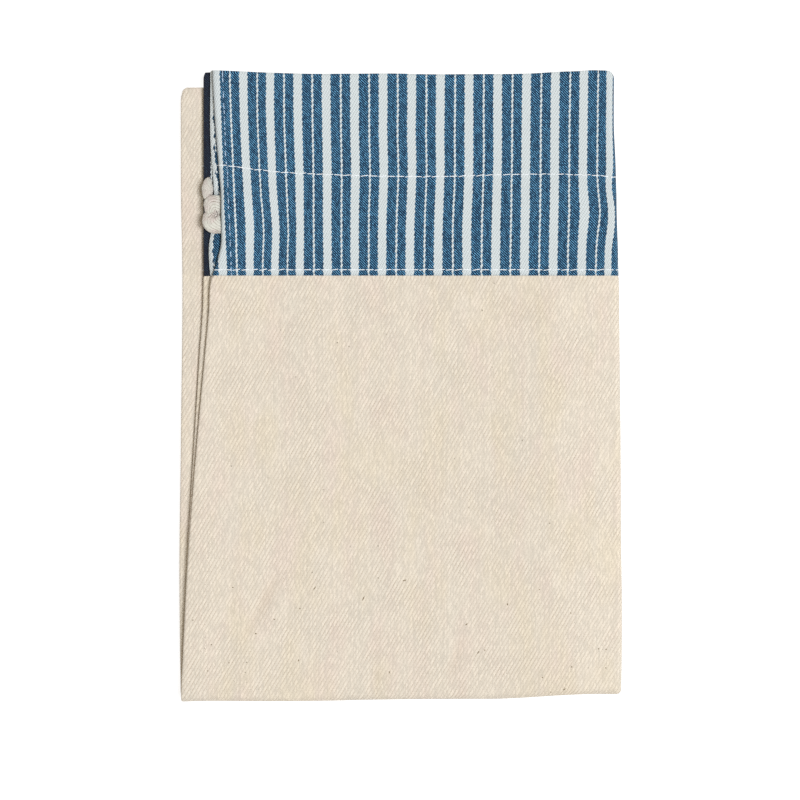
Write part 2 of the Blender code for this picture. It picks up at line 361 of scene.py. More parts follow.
# ---- Body: one length of undyed cotton twill, folded up at the bottom and sewn along both sides. It is
# folded in half along its length, so both seams lie at the left, then once across, lower half behind.
CLOTH = 0.6  # thickness
ROOM = 0.85  # from the middle of the bag's inside to the middle of its cloth
OUTERMOST = ROOM + CLOTH / 2  # from there to its outer face
AIR = 0.3  # between the two halves
PRESSED = 0.6  # how far a fold reaches out, as a share of its half height
HALF_LONG = 107.8  # from the middle of the folded bag up to its mouth, and down to its fold across
BODY_HEIGHTS = (1.15, 3.75)  # of the lower and the upper pair of layers, from a half's inner face
HEADING_HEIGHTS = (1.55, 4.95)
HALF_HEIGHT = BODY_HEIGHTS[1] + OUTERMOST
MIDDLE = AIR / 2 + HALF_HEIGHT  # height between the front half and the back half
TURN_Y = PRESSED * MIDDLE - HALF_LONG  # where the fold across starts to turn
FOLD_RISE = 1.8  # the fold across climbs this far towards the right
FOLD_RISES_FROM, FOLD_RISES_OVER = 29, 39
FOLD_REACH = 55  # how far up the cloth follows the fold
CLOSES_FROM = 101.9
BAG_BOTTOM = 102.9
TUCKED_TO = 46.0  # its top edge lies inside the heading
ROUND_TUBE = 294.0  # across the cloth from one panel's fold to the other's
SEAM_GROOVE = 0.42  # how deep the line between the two edges of a seam is, as a share

# Down each half: the left edges of its layers, which are numbered from the front, its lengthwise fold,
# and how far the heading spreads the layers, as a share
Edge = namedtuple("Edge", "y edge_1 edge_2 edge_34 fold spread")
FRONT_EDGES = (
    Edge(107.8, -64.8, -65.5, -68.1, 73.35, 1),
    Edge(97.0, -64.3, -65.55, -68.1, 73.3, 1),
    Edge(88.0, -63.7, -65.6, -68.1, 73.35, 1),
    Edge(77.5, -62.8, -65.1, -68.1, 73.85, 1),
    Edge(71.0, -62.2, -64.5, -68.1, 74.05, 1),
    Edge(66.0, -61.7, -64.2, -68.1, 74.2, 1),
    Edge(59.0, -61.6, -64.3, -68.1, 74.3, 1),
    Edge(54.0, -61.6, -65.0, -68.1, 74.45, 1),
    Edge(48.0, -61.8, -66.0, -68.1, 74.7, 1),
    Edge(42.0, -63.4, -65.9, -68.05, 74.85, 1),
    Edge(36.0, -65.2, -65.4, -68.05, 75.0, 1),
    Edge(26.0, -65.9, -65.9, -68.3, 75.15, 0.6),
    Edge(12.0, -67.2, -67.2, -69.3, 75.3, 0.15),
    Edge(-4.0, -68.7, -68.7, -70.3, 75.5, 0),
    Edge(-28.0, -70.8, -70.8, -71.8, 75.7, 0),
    Edge(-52.0, -72.7, -72.7, -73.2, 75.8, 0),
    Edge(-76.0, -74.1, -74.1, -74.4, 76.1, 0),
    Edge(-94.0, -75.0, -75.0, -75.2, 76.05, 0),
    Edge(-106.0, -75.5, -75.5, -75.7, 75.9, 0),
)
# The back half's layers end together at the left
BACK_EDGES = [Edge(y, left, left, left, fold, 0) for y, left, fold in (
    (-106.0, -76.1, 75.9), (-90.0, -76.3, 75.8), (-66.0, -76.5, 75.4), (-20.0, -76.0, 74.4),
    (48.0, -75.6, 73.6), (62.0, -75.9, 73.5), (82.0, -76.0, 73.2), (96.0, -76.0, 72.95),
    (99.5, -75.95, 72.9), (101.9, -75.4, 72.7), (102.9, -74.6, 72.3),
)]

Hump = namedtuple("Hump", "x y reach_x reach_y height")
KNOT = Hump(-62.5, 60.0, 15.0, 13.0, 2.3)  # the front layer rides up over the knot
HUMPS = (
    Hump(-30, -72, 34, 22, -0.35),
    Hump(28, -48, 46, 30, 0.45),
    Hump(62, -88, 16, 18, -0.25),
    Hump(-20, 5, 60, 36, 0.40),
    Hump(40, 92, 34, 12, -0.30),
    Hump(-18, 88, 30, 14, 0.25),
)

# The fold across isn't quite straight either: it sags towards the left
Sag = namedtuple("Sag", "x drop")
FOLD_SAGS = [Sag(*row) for row in (
    (-75.5, 1.1), (-70, 0.95), (-45, 1.0), (-34, 0.93), (-24, 0.79), (-14, 0.55), (0, 0.35), (75, 0.35),
)]

# Soft creases in the front layer: where each starts and ends, its half width and its depth
Crease = namedtuple("Crease", "x1 y1 x2 y2 half deep")
CREASES = (
    Crease(-39.5, -62.0, -58.5, -93.0, 1.9, 0.85),
    Crease(-46.0, -74.0, -60.0, -96.0, 3.2, -0.25),
    Crease(-7.4, -95.5, -9.6, -107.0, 1.4, 0.5),
    Crease(22.2, -84.5, 16.0, -103.0, 1.6, 0.5),
    Crease(52.0, -62.0, 67.0, -58.0, 3.0, 0.20),
    Crease(-60.0, 18.0, -38.0, 6.0, 3.4, 0.22),
    Crease(30.0, 24.0, 58.0, 30.0, 4.0, 0.18),
)

# How many points each stretch of a panel's section has
Count = namedtuple("Count", "end upper fold lower")
FRONT_PANEL = Count(end=5, upper=96, fold=11, lower=34)
BACK_PANEL = Count(end=5, upper=16, fold=7, lower=16)


def panel_section(edges, heights, offset, outermost, panel, count):
    """Across one panel of the folded tube, seam to seam: x, height, and distance from the fold.

    panel is 1 for the bag's front, round the outside of the lengthwise fold, and -1 for its back.
    edges are the left edges of its upper and lower layer and the lengthwise fold.
    """
    upper_edge, lower_edge, fold = edges
    lower, upper = heights
    half = (upper - lower) / 2
    start, finish = upper_edge + PRESSED * outermost, lower_edge + PRESSED * outermost
    turn = fold - PRESSED * (half + outermost)
    radius = half + panel * offset
    end = np.radians(np.linspace(0, 90, count.end, endpoint=False))
    tuck = PRESSED * offset * np.cos(end) * (1 - SEAM_GROOVE * np.exp(-((end / 0.5) ** 2)))
    rise = panel * offset * np.sin(end)
    rounding = np.radians(np.linspace(90, -90, count.fold, endpoint=False))
    x = np.concatenate([
        start - tuck,
        np.linspace(start, turn, count.upper, endpoint=False),
        turn + PRESSED * radius * np.cos(rounding),
        np.linspace(turn, finish, count.lower),
        (finish - tuck)[::-1],
    ])
    height = np.concatenate([
        upper + rise,
        np.full(count.upper, upper + panel * offset),
        lower + half + radius * np.sin(rounding),
        np.full(count.lower, lower - panel * offset),
        (lower - rise)[::-1],
    ])
    far = run_along(np.stack([x, height], -1))
    return x, height, far - far[count.end + count.upper]


def both_panels(edges, trim, heights, room, outermost, counts):
    """The front and the back panel's sections at every row, with their left ends moved out by trim."""
    panels = []
    for name, panel, count in (("edge_1", 1, counts[0]), ("edge_2", -1, counts[1])):
        rows = zip(edges[name] - trim, edges["edge_34"], edges["fold"], heights, room)
        sections = [panel_section(row[:3], row[3], row[4], outermost, panel, count) for row in rows]
        panels.append(np.array(sections).transpose(1, 0, 2))
    return panels


def read_table(table, column, at):
    """One column of a short table as a smooth curve over its first column, level past its ends."""
    stations = np.array([row[0] for row in table], float)
    values = np.array([getattr(row, column) for row in table], float)
    if stations[0] > stations[-1]:
        stations, values = stations[::-1], values[::-1]
    slopes = np.gradient(values, stations)
    slopes[[0, -1]] = 0
    return smooth_curve(stations, values, slopes, np.clip(at, stations[0], stations[-1]))


def edges_at(table, y):
    """Every column of a table of edges, at each y."""
    return {name: read_table(table, name, y) for name in Edge._fields}


def crease_depth(x, y):
    """How far the front layer sinks into its creases."""
    total = np.zeros_like(x)
    for c in CREASES:
        run = np.hypot(c.x2 - c.x1, c.y2 - c.y1)
        ux, uy = (c.x2 - c.x1) / run, (c.y2 - c.y1) / run
        along = (x - c.x1) * ux + (y - c.y1) * uy
        off = (x - c.x1) * -uy + (y - c.y1) * ux + 0.6 * np.sin(along / 5.0)
        fading = ease(along / (0.35 * run)) * ease((run - along) / (0.35 * run))
        total += c.deep * np.exp(-((off / c.half) ** 2)) * fading
    return total


def sway(x, y, layer):
    """Slow, shallow waves, so that no layer lies dead flat."""
    wave = np.sin(x / 17 + 2.1 * layer) * np.sin(y / 21 + 1.3 * layer)
    return 0.11 * (wave + 0.7 * np.sin((x + 0.8 * y) / 29 + 0.9 * layer))


def rise_over(hump, x, y):
    """How high a soft, round hump stands over each place."""
    return hump.height * np.exp(-(((x - hump.x) / hump.reach_x) ** 2) - ((y - hump.y) / hump.reach_y) ** 2)


def settle(points, layer, evenly):
    """Gives the evenly folded cloth its skewed fold, its humps and creases, and the sway of its layers.

    layer numbers the layers from the front one down; evenly is 0 along folds and seams and 1 between.
    """
    x, y, z = points[..., 0], points[..., 1], points[..., 2]
    skew = FOLD_RISE * ease((x - FOLD_RISES_FROM) / FOLD_RISES_OVER) - read_table(FOLD_SAGS, "drop", x)
    y = y + skew * ease((FOLD_REACH - HALF_LONG - y) / FOLD_REACH)
    lift = np.zeros_like(z)
    for hump in HUMPS:
        lift += rise_over(hump, x, y)
    lift *= ease((y + HALF_LONG) / 12) * (z - MIDDLE) / HALF_HEIGHT
    sunk = crease_depth(x, y)
    z = z + np.where(z > MIDDLE, lift, 0)
    z = z - sunk * (layer == 1) - 0.4 * sunk * (layer == 2)
    z = z + sway(x, y, layer) * evenly
    return np.stack([x, y, z], -1)


TWILL_WARP, TWILL_WEFT = 0.44, 0.76  # from one yarn to the next
THIRD_TURN = math.tau / 3  # a third of a wave: the twill repeats at every third yarn
ROW_START = 2.6  # where in their wave the finer rows start
ABOVE_ZERO = 3000  # whole repeats, which keep a count of yarns above zero


def plus(tree, first, second):
    return maths(tree, "ADD", first, second)


def minus(tree, first, second):
    return maths(tree, "SUBTRACT", first, second)


def vector(tree, x=0.0, y=0.0, z=0.0):
    return add_node(tree, "ShaderNodeCombineXYZ", {0: x, 1: y, 2: z}).outputs[0]


def random_for(tree, value, dimensions, socket):
    """An even draw from 0 to 1 that depends only on the value."""
    return add_node(tree, "ShaderNodeTexWhiteNoise", {socket: value}, noise_dimensions=dimensions).outputs[0]


def twill_weave():
    """A twill of two up and one down: its relief, where each yarn stands highest, and its unevenness."""
    tree = bpy.data.node_groups.new("twill_weave", "ShaderNodeTree")
    for name in ("Place", "Warp pitch", "Weft pitch", "Swell"):
        kind = "NodeSocketVector" if name == "Place" else "NodeSocketFloat"
        tree.interface.new_socket(name, in_out="INPUT", socket_type=kind)
    given = add_node(tree, "NodeGroupInput").outputs
    wander = noise(tree, given["Place"], 0.4, 3)["Color"]
    wander = add_node(tree, "ShaderNodeVectorMath", {0: wander, 1: (0.5, 0.5, 0.5)}, operation="SUBTRACT")
    wander = add_node(tree, "ShaderNodeVectorMath", {0: wander, "Scale": 0.35}, operation="SCALE")
    place = add_node(tree, "ShaderNodeVectorMath", {0: given["Place"], 1: wander}, operation="ADD")
    u, v, _ = split(tree, place)
    warp = maths(tree, "DIVIDE", u, given["Warp pitch"])
    weft = maths(tree, "DIVIDE", v, given["Weft pitch"])
    # The floats line up the other way too, in finer and steeper rows
    rows = times(tree, minus(tree, times(tree, weft, 2), warp), THIRD_TURN)
    rows = maths(tree, "COSINE", plus(tree, rows, ROW_START))
    # Each warp yarn swells out sideways in the middle of its floats
    swell = maths(tree, "SINE", times(tree, plus(tree, weft, warp), THIRD_TURN))
    warp = plus(tree, warp, times(tree, swell, given["Swell"]))
    warp_yarn, across = maths(tree, "FLOOR", warp), maths(tree, "FRACT", warp)
    passed = maths(tree, "DIVIDE", plus(tree, plus(tree, weft, warp_yarn), ABOVE_ZERO), 3)
    step = times(tree, maths(tree, "FRACT", passed), 3)
    # A yarn is round across its width, and arched along the stretch where it lies on top
    round_warp = times(tree, across, minus(tree, 1, across), 4)
    arch = maths(tree, "MAXIMUM", times(tree, step, minus(tree, 2, step)), 0)
    warp_height = maths(tree, "SQRT", times(tree, round_warp, arch))
    over = minus(tree, step, 2)
    round_weft = maths(tree, "MAXIMUM", times(tree, over, minus(tree, 1, over), 4), 0)
    yarns = maths(tree, "MAXIMUM", warp_height, times(tree, maths(tree, "SQRT", round_weft), 0.5))
    # The wale is the slanting ridge that the floats make together
    slant = maths(tree, "DIVIDE", plus(tree, plus(tree, weft, warp), ABOVE_ZERO), 3)
    wale = maths(tree, "SINE", times(tree, maths(tree, "FRACT", slant), math.pi))
    slub = noise(tree, stretched(tree, place, (2.2, 0.14, 1)), 1.0, 3)[0]
    tone = times(tree, random_for(tree, warp_yarn, "1D", "W"), 0.3)
    crossing = vector(tree, warp_yarn, maths(tree, "FLOOR", passed))
    results = {
        "Height": plus(tree, times(tree, yarns, 0.45), times(tree, wale, 0.55)),
        "Yarns": yarns,
        "Wale": wale,
        "Weft": round_weft,
        "Rows": rows,
        "Tone": plus(tree, tone, times(tree, slub, 0.7)),
        "Grain": noise(tree, place, 1.5, 3)[0],
        "Speck": random_for(tree, crossing, "2D", "Vector"),
        "Warp yarn": warp_yarn,
    }
    for name in results:
        tree.interface.new_socket(name, in_out="OUTPUT", socket_type="NodeSocketFloat")
    add_node(tree, "NodeGroupOutput", results)
    return tree


weave_group = twill_weave()


def weave(tree, warp_pitch, weft_pitch, swell):
    """The weave of one cloth: its own UV map, the group's outputs, and the attribute that says where shade
    and light are painted.
    """
    along = add_node(tree, "ShaderNodeUVMap", uv_map="Cloth")
    yarns = add_node(tree, "ShaderNodeGroup", {
        "Place": along, "Warp pitch": warp_pitch, "Weft pitch": weft_pitch, "Swell": swell,
    }, node_tree=weave_group).outputs
    return along, yarns, add_node(tree, "ShaderNodeAttribute", attribute_name="painted_shading").outputs["Fac"]


def dimmed(tree, colour, *spans):
    """Each span is a value, its range, and what the colour is multiplied by at the range's two ends."""
    for span in spans:
        colour = blend_colours(tree, 1.0, colour, spread_to(tree, *span), "MULTIPLY")
    return colour


def natural_twill():
    material, tree = plain_material("natural_twill", 0.92, 0.1)
    along, yarns, painted_shading = weave(tree, TWILL_WARP, TWILL_WEFT, 0.1)
    plain, pink, straw = (0.668, 0.60, 0.50, 1), (0.672, 0.58, 0.49, 1), (0.665, 0.588, 0.46, 1)
    grey, groove, crease_shade_brown = (0.628, 0.58, 0.49, 1), (0.38, 0.30, 0.22, 1), (0.56, 0.44, 0.33, 1)
    # Broad, faint tints that run with the wale
    cloud = noise(tree, stretched(tree, along, (0.10, 0.035, 1), math.radians(30)), 1.0, 4)
    _, warm, dull = split(tree, cloud["Color"])
    colour = tinted(tree, plain, (cloud[0], 0.48, 0.66, 1, pink), (warm, 0.5, 0.68, 0.8, straw),
                    (dull, 0.52, 0.7, 0.4, grey))
    # Paler towards the lengthwise fold, painted light where the fold's round takes the light; and uneven from
    # yarn to yarn
    x = split(tree, place_on_piece(tree))[0]
    colour = dimmed(tree, colour, (x, 45 * MM, 66 * MM, 1.0, 1.05), (yarns["Tone"], 0.3, 0.7, 0.97, 1.03),
                    (yarns["Grain"], 0.3, 0.7, 0.94, 1.06), (yarns["Speck"], 0.0, 1.0, 0.91, 1.09))
    # Painted shade in the weave's grooves: the wale is clearer in some places than in others
    patches = noise(tree, along, 0.08, 3)[0]
    clear = spread_product(tree, (yarns["Wale"], 0.75, 0.0, 0, 0.52), (patches, 0.35, 0.65, 0.45, 1.3),
                           (yarns["Yarns"], 0.55, 0.15, 0.55, 1.5), (yarns["Speck"], 0.0, 1.0, 0.4, 1.4))
    colour = blend_colours(tree, clear, colour, groove)
    # Browner down the creases: painted shade in the troughs
    colour = tinted(tree, colour, (painted_shading, 0.0, 1.0, 0.3, crease_shade_brown))
    # Specks of seed husk: one in about every other cell, each as dark as its cell says
    husk = add_node(tree, "ShaderNodeTexVoronoi", {"Vector": along, "Scale": 0.22, "Randomness": 1.0})
    kept = split(tree, husk.outputs["Color"])[0]
    speck = spread_product(tree, (husk.outputs["Distance"], 0.075, 0.03, 0, 1), (kept, 0.5, 1.0, 0, 0.9))
    colour = blend_colours(tree, speck, colour, (0.16, 0.13, 0.09, 1))
    coat(tree, colour, yarns["Height"], 0.12 * MM, 0.6)
    return material


def thicken(piece, thickness):
    wall = piece.modifiers.new("cloth", "SOLIDIFY")
    wall.thickness, wall.offset = thickness * MM, 0


def body_rows():
    """Every row of the body down its length: y, turn round the fold across, room, and its edges."""
    down = np.linspace(TUCKED_TO, TURN_Y, 116)
    turning = np.linspace(90, -90, 14)[1:-1]
    up = np.linspace(TURN_Y, CLOSES_FROM, 96)
    closing = np.radians(np.linspace(0, 90, 5)[1:])
    last = CLOSES_FROM + (BAG_BOTTOM - CLOSES_FROM) * np.sin(closing)
    y = np.concatenate([down, np.full(len(turning), TURN_Y), up, last])
    turn = np.concatenate([np.full(len(down), 90.0), turning, np.full(len(up) + len(closing), -90.0)])
    room = np.full(len(y), ROOM)
    room[-len(closing):] = ROOM * np.cos(closing)
    front, back = edges_at(FRONT_EDGES, y), edges_at(BACK_EDGES, y)
    share = (turn + 90) / 180
    edges = {name: back[name] + (front[name] - back[name]) * share for name in Edge._fields}
    inside = ease((y - 36.5) / 3) * (turn > 0)
    for name, inset in (("edge_1", 1.0), ("edge_34", 0.6), ("fold", -0.6)):
        edges[name] = edges[name] + inset * inside
    edges["edge_2"] += (edges["edge_1"] - edges["edge_2"]) * inside
    return y, turn, room, edges


def ring_of_layers(front_count, back_count):
    """The layer that each point of a ring belongs to, on the front half."""
    def panel(count, upper, lower):
        first = count.end + count.upper + count.fold // 2
        return [upper] * first + [lower] * (2 * count.end + count.upper + count.fold + count.lower - first)
    return np.array(panel(front_count, 1, 4) + panel(back_count, 2, 3)[::-1])


def fold_round(x, height, y, turn, layer, edges):
    """Carries the rows round the fold across. Gives each point's place, layer and evenness."""
    angle = np.radians(turn)[:, None]
    radius = AIR / 2 + height
    level = y - PRESSED * radius * np.cos(angle)
    z = MIDDLE + radius * np.sin(angle)
    layer = np.where(turn[:, None] < 0, 9 - layer[None, :], layer[None, :])
    left = np.where((layer == 1) | (layer == 8), edges["edge_1"][:, None], edges["edge_34"][:, None])
    evenly = ease((x - left - 1) / 6) * ease((edges["fold"][:, None] - 2 - x) / 6)
    evenly = evenly * ease(np.abs(level - TURN_Y) / 8) * (np.abs(angle) > 1.57)
    return np.stack([x, level, z], -1), layer, evenly


def make_body():
    y, turn, room, edges = body_rows()
    body, heading = np.array(BODY_HEIGHTS), np.array(HEADING_HEIGHTS)
    heights = body + (heading - body) * edges["spread"][:, None]
    front, back = both_panels(edges, 0, heights, room, OUTERMOST, (FRONT_PANEL, BACK_PANEL))
    x, height = np.concatenate([front, back[..., ::-1], front[..., :1]], -1)[:2]
    u = np.concatenate([front[2], ROUND_TUBE - back[2, :, ::-1], ROUND_TUBE + 0.2 - back[2, :, :1]], -1)
    layer = np.append(ring_of_layers(FRONT_PANEL, BACK_PANEL), 1)
    points, layer, evenly = fold_round(x, height, y[:, None], turn, layer, edges)
    points = settle(points, layer, evenly)
    points[..., 2] += rise_over(KNOT, points[..., 0], points[..., 1]) * (layer == 1)
    points[..., 2] = np.maximum(points[..., 2], CLOTH / 2)
    steps = np.linalg.norm(np.diff(points, axis=0), axis=2)
    v = np.concatenate([np.zeros((1, points.shape[1])), np.cumsum(steps, axis=0)])
    # How deep the front layer's creases are, for the shade painted along them
    painted_shading = np.clip(crease_depth(points[..., 0], points[..., 1]) / 0.8, 0, 1) * (layer == 1)
    piece = cloth_grid("twill_body", points, np.stack([u, v], -1), natural_twill(), painted_shading)
    thicken(piece, CLOTH)
    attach(piece, "root")
    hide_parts("body")
    return points[layer == 1]


front_layer = make_body()


# ---- Husk flecks: crumbs of cotton seed that the spinner leaves in undyed yarn. They are caught in the
# weave of the front, at any angle, and stand a hair above it.
Fleck = namedtuple("Fleck", "x y long turn")
FLECKS = [Fleck(*row) for row in (
    (-12.8, -73.1, 1.7, 62), (-29.6, -69.6, 1.3, 50), (-43.4, -80.3, 0.6, 20), (-35.1, -94.4, 0.8, 70),
    (-3.9, -98.5, 0.8, 110), (22.6, -82.0, 1.0, 35), (1.3, -66.9, 1.5, 15), (36.7, -75.1, 0.8, 80),
    (26.7, -91.6, 1.2, 55), (48.7, -100.2, 0.6, 0), (56.3, -104.3, 1.2, 30), (47.6, -70.0, 0.5, 40),
    (58.5, -78.2, 0.5, 90), (68.0, -90.4, 0.6, 10), (70.6, -90.6, 0.6, 50), (58.8, -96.6, 0.6, 70),
    (70.5, -97.0, 0.5, 0), (28.9, -90.9, 0.5, 45), (-71.4, -80.5, 0.5, 60), (-65.1, -89.0, 0.6, 20),
    (-66.3, -98.0, 0.6, 0), (-49.8, -85.2, 0.6, 35), (-59.0, -95.2, 0.5, 80), (-34.6, -76.6, 0.5, 30),
    (-57.7, -69.3, 0.5, 0),
)]
FLECK_WIDE = 0.38
FLECK_TALL = 0.26


def seed_husk():
    material, tree = plain_material("seed_husk", 0.8, 0)
    mottle = noise(tree, place_on_piece(tree), 2600, 3)[0]
    coat(tree, tinted(tree, (0.16, 0.12, 0.07, 1), (mottle, 0.35, 0.65, 1, (0.36, 0.29, 0.20, 1))))
    return material


def make_flecks():
    mesh = bmesh.new()
    for fleck in FLECKS:
        off = np.hypot(front_layer[:, 0] - fleck.x, front_layer[:, 1] - fleck.y)
        beneath = front_layer[np.argmin(off)]
        place = Matrix.Translation(Vector((fleck.x, fleck.y, beneath[2] + CLOTH / 2)) * MM)
        turn = Matrix.Rotation(math.radians(fleck.turn), 4, "Z")
        size = Matrix.Diagonal((fleck.long * MM, FLECK_WIDE * MM, FLECK_TALL * MM, 1))
        bmesh.ops.create_icosphere(mesh, subdivisions=2, radius=0.5, matrix=place @ turn @ size)
    data = bpy.data.meshes.new("husk_flecks")
    mesh.to_mesh(data)
    mesh.free()
    data.materials.append(seed_husk())
    data.shade_smooth()
    piece = place_in_scene("husk_flecks", data)
    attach(piece, "root")


make_flecks()


# ---- Heading: a doubled strip of blue and white striped denim round the mouth. It is folded over at
# the mouth, its lower edges take in the body's top edge, and its ends meet at the slit, at the left.
PLY = 0.4
BAND_ROOM = 0.5  # from the middle of the doubled strip to the middle of each ply
BAND_OUTERMOST = ROOM + BAND_ROOM + PLY / 2
MOUTH_TURNS = 107.05
MOUTH_REACH = 0.5
JOIN = 37.8  # the strip's lower edge, where it takes in the body
RISE_ROWS, OVER_ROWS = 66, 9  # up the outer ply, and over the mouth
CORNER_REACH, CORNER_DROP = 2.5, 3.0
TUNNEL_MIDDLE = 12.0  # below the stitch line
TUNNEL_END = Hump(-64.3, 69.5, 4.0, 3.6, 1.1)
BAND_FRONT = Count(end=5, upper=104, fold=11, lower=50)
BAND_BACK = Count(end=5, upper=44, fold=7, lower=24)

Drift = namedtuple("Drift", "x drift lean")
STRIPE_DRIFTS = (
    Drift(-64.0, 1.95, 2.3),
    Drift(-53.6, 1.44, 2.4),
    Drift(-44.6, 0.60, 2.0),
    Drift(-35.2, 0.27, 0.75),
    Drift(-25.5, 0.29, 0.5),
    Drift(-16.0, 0.14, 0.1),
    Drift(0.0, 0.0, -0.5),
    Drift(23.0, 0.2, -0.7),
    Drift(34.0, 0.28, -0.7),
    Drift(43.0, 0.42, -0.7),
    Drift(53.0, 0.53, -0.75),
    Drift(62.0, 0.54, -0.7),
    Drift(70.0, 0.15, -0.8),
    Drift(74.0, -0.80, -0.8),
)
# Where the stripes sway aside: the height is how far
STRIPE_SWAYS = (
    Hump(-45.0, 54.0, 9.0, 10.0, 0.95),
    Hump(-52.0, 64.0, 5.0, 12.0, 0.35),
    Hump(-47.0, 107.0, 9.0, 8.0, 0.50),
    Hump(-36.0, 70.0, 5.0, 14.0, 0.30),
    Hump(0.0, 73.0, 21.0, 11.0, 0.50),
    Hump(3.0, 96.0, 18.0, 7.0, 0.15),
    Hump(20.0, 54.0, 7.0, 9.0, -0.25),
    Hump(30.0, 79.0, 8.0, 13.0, 0.28),
    Hump(52.0, 70.0, 6.0, 12.0, 0.15),
    Hump(73.0, 76.0, 4.0, 7.0, 0.35),
    Hump(74.0, 53.0, 4.0, 5.0, 0.45),
)
STRIPE_MIDDLE = 3.53  # a wide white stripe's middle, half way across
UNDER_FROM = 82.0  # past the lengthwise fold
UNDER_STRETCH = 0.9945
SEAM_AT = 219.6  # the seam, on the strip's own run of stripes
BACK_STRETCH = 1.011
LEAN_LEVEL = 87.7  # the stripes lean about this height
LEAN_RUN = 59.3
WARP_PITCH, WEFT_PITCH = 0.2958, 0.572
REPEAT_YARNS = 33
REPEAT = REPEAT_YARNS * WARP_PITCH  # the stripes come round again
HALF_WHITE = 5  # yarns in half of a wide white stripe
WHITE_AT_SLIT = 1.5  # how much white the second layer shows along its end
BLUE_FROM = 9.0 * WARP_PITCH  # where the third layer turns under

# The mouth's edge, above its even level, and the stitch line that closes the tunnel
Level = namedtuple("Level", "x y")
MOUTH_LINE = [Level(*row) for row in (
    (-68.1, -2.4), (-67.8, -1.4), (-67.4, -0.2), (-66.9, 0.5), (-66.4, 0.85), (-65.9, 0.85),
    (-65.3, 0.62), (-64.0, 0.58), (-60.6, 0.48), (-56.0, 0.27), (-51.0, 0.03), (-41.4, -0.35),
    (-31.8, -0.62), (-16.0, -0.58), (0.0, -0.55), (7.3, -0.75), (27.0, -0.69), (40.0, -0.62),
    (46.4, -0.41), (49.8, -0.21), (56.4, 0.17), (59.8, 0.25), (65.6, 0.62), (69.7, 0.55), (74.0, 0.45),
)]
STITCH_LINE = [Level(*row) for row in (
    (-66.0, 75.9), (-61.3, 75.4), (-52.4, 74.3), (-43.0, 73.3), (-29.0, 72.6), (-9.0, 71.95),
    (20.0, 71.95), (30.0, 72.3), (59.0, 72.5), (69.0, 72.1), (76.0, 71.5),
)]


def stitch_level(x):
    return read_table(STITCH_LINE, "y", x)


def stripe_shift(x, y):
    """How far the stripes stand off their even places, across the front layer."""
    bulge = 1.25 * ease((x - 55) / 14) * np.exp(-(((y - 59.5) / 7.5) ** 2))
    bulge = bulge - 0.6 * ease((x - 69) / 4) * np.exp(-(((y - 68) / 5) ** 2))
    for swayed in STRIPE_SWAYS:
        bulge = bulge + rise_over(swayed, x, y)
    lean = read_table(STRIPE_DRIFTS, "lean", x) * (LEAN_LEVEL - y) / LEAN_RUN
    return STRIPE_MIDDLE + read_table(STRIPE_DRIFTS, "drift", x) + lean + bulge


def noise_down(tree, v, scale):
    """Cloudy unevenness along one line."""
    return add_node(tree, "ShaderNodeTexNoise", {"W": v, "Scale": scale, "Detail": 2},
                    noise_dimensions="1D").outputs[0]


